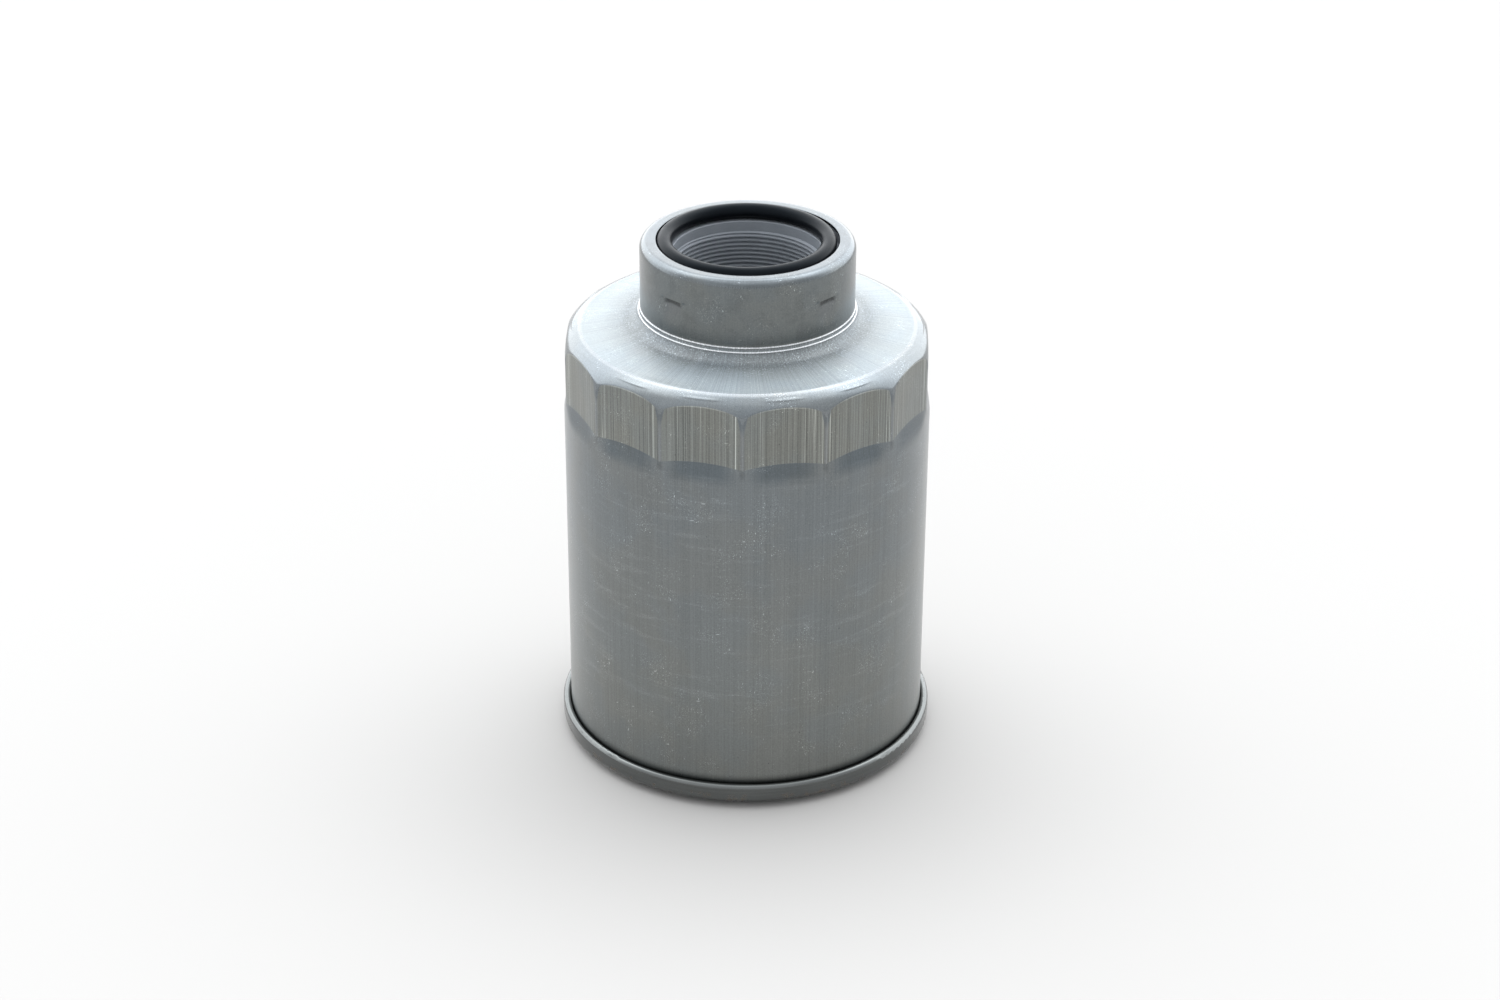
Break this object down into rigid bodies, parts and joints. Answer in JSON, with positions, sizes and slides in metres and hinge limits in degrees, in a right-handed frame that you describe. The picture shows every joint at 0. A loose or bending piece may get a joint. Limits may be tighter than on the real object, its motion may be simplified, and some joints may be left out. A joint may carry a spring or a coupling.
{
  "type": "spin-on fuel filter",
  "caption": "Spin-on canister filter for diesel fuel: zinc-plated steel can with wrench flats, rolled seam, threaded head plate, gasket, and a threaded neck port with an O-ring.",
  "frame": {"origin": "centre of the mounting gasket's sealing face, the lowest point of the part", "axes": "+Z along the canister's axis from the mounting gasket to the neck port; -Y towards the viewer's side, with the first wrench flat centred 11.6 degrees towards +X from -Y"},
  "size_m": [0.0836, 0.0836, 0.1184],
  "materials": {
    "shell_steel": "satin",
    "lid_steel": "satin",
    "sealing_compound": "matte",
    "plate_steel": "satin",
    "gasket_rubber": "matte",
    "insert_steel": "matte",
    "seal_rubber": "satin",
    "spring_steel": "satin",
    "cap_steel": "satin",
    "tube_steel": "satin",
    "filter_paper": "matte",
    "potting_plastisol": "matte",
    "grommet_rubber": "matte"
  },
  "bodies": {
    "canister": {"canister_shell": "shell_steel", "seaming_lid": "lid_steel", "seam_compound": "sealing_compound", "base_plate": "plate_steel", "mounting_gasket": "gasket_rubber", "neck_insert": "insert_steel", "insert_seal_ring": "seal_rubber", "element_spring": "spring_steel"},
    "element": {"closed_end_cap": "cap_steel", "closed_potting": "potting_plastisol", "pleated_media": "filter_paper", "media_seam_clip": "cap_steel", "centre_tube": "tube_steel", "outlet_potting": "potting_plastisol", "outlet_end_cap": "cap_steel", "element_grommet": "grommet_rubber"},
    "port_ring": {"neck_oring": "seal_rubber"}
  },
  "joints": [
    {"name": "element_float", "type": "slide", "parent": "canister", "child": "element", "axis": [0, 0, 1], "range_m": [0, 0.003], "stiffness_N_per_m": 3000, "springref_m": -0.02, "deforming": ["element_spring"]},
    {"name": "neck_oring_lift", "type": "slide", "parent": "canister", "child": "port_ring", "axis": [0, 0, 1], "range_m": [0, 0.02]}
  ]
}
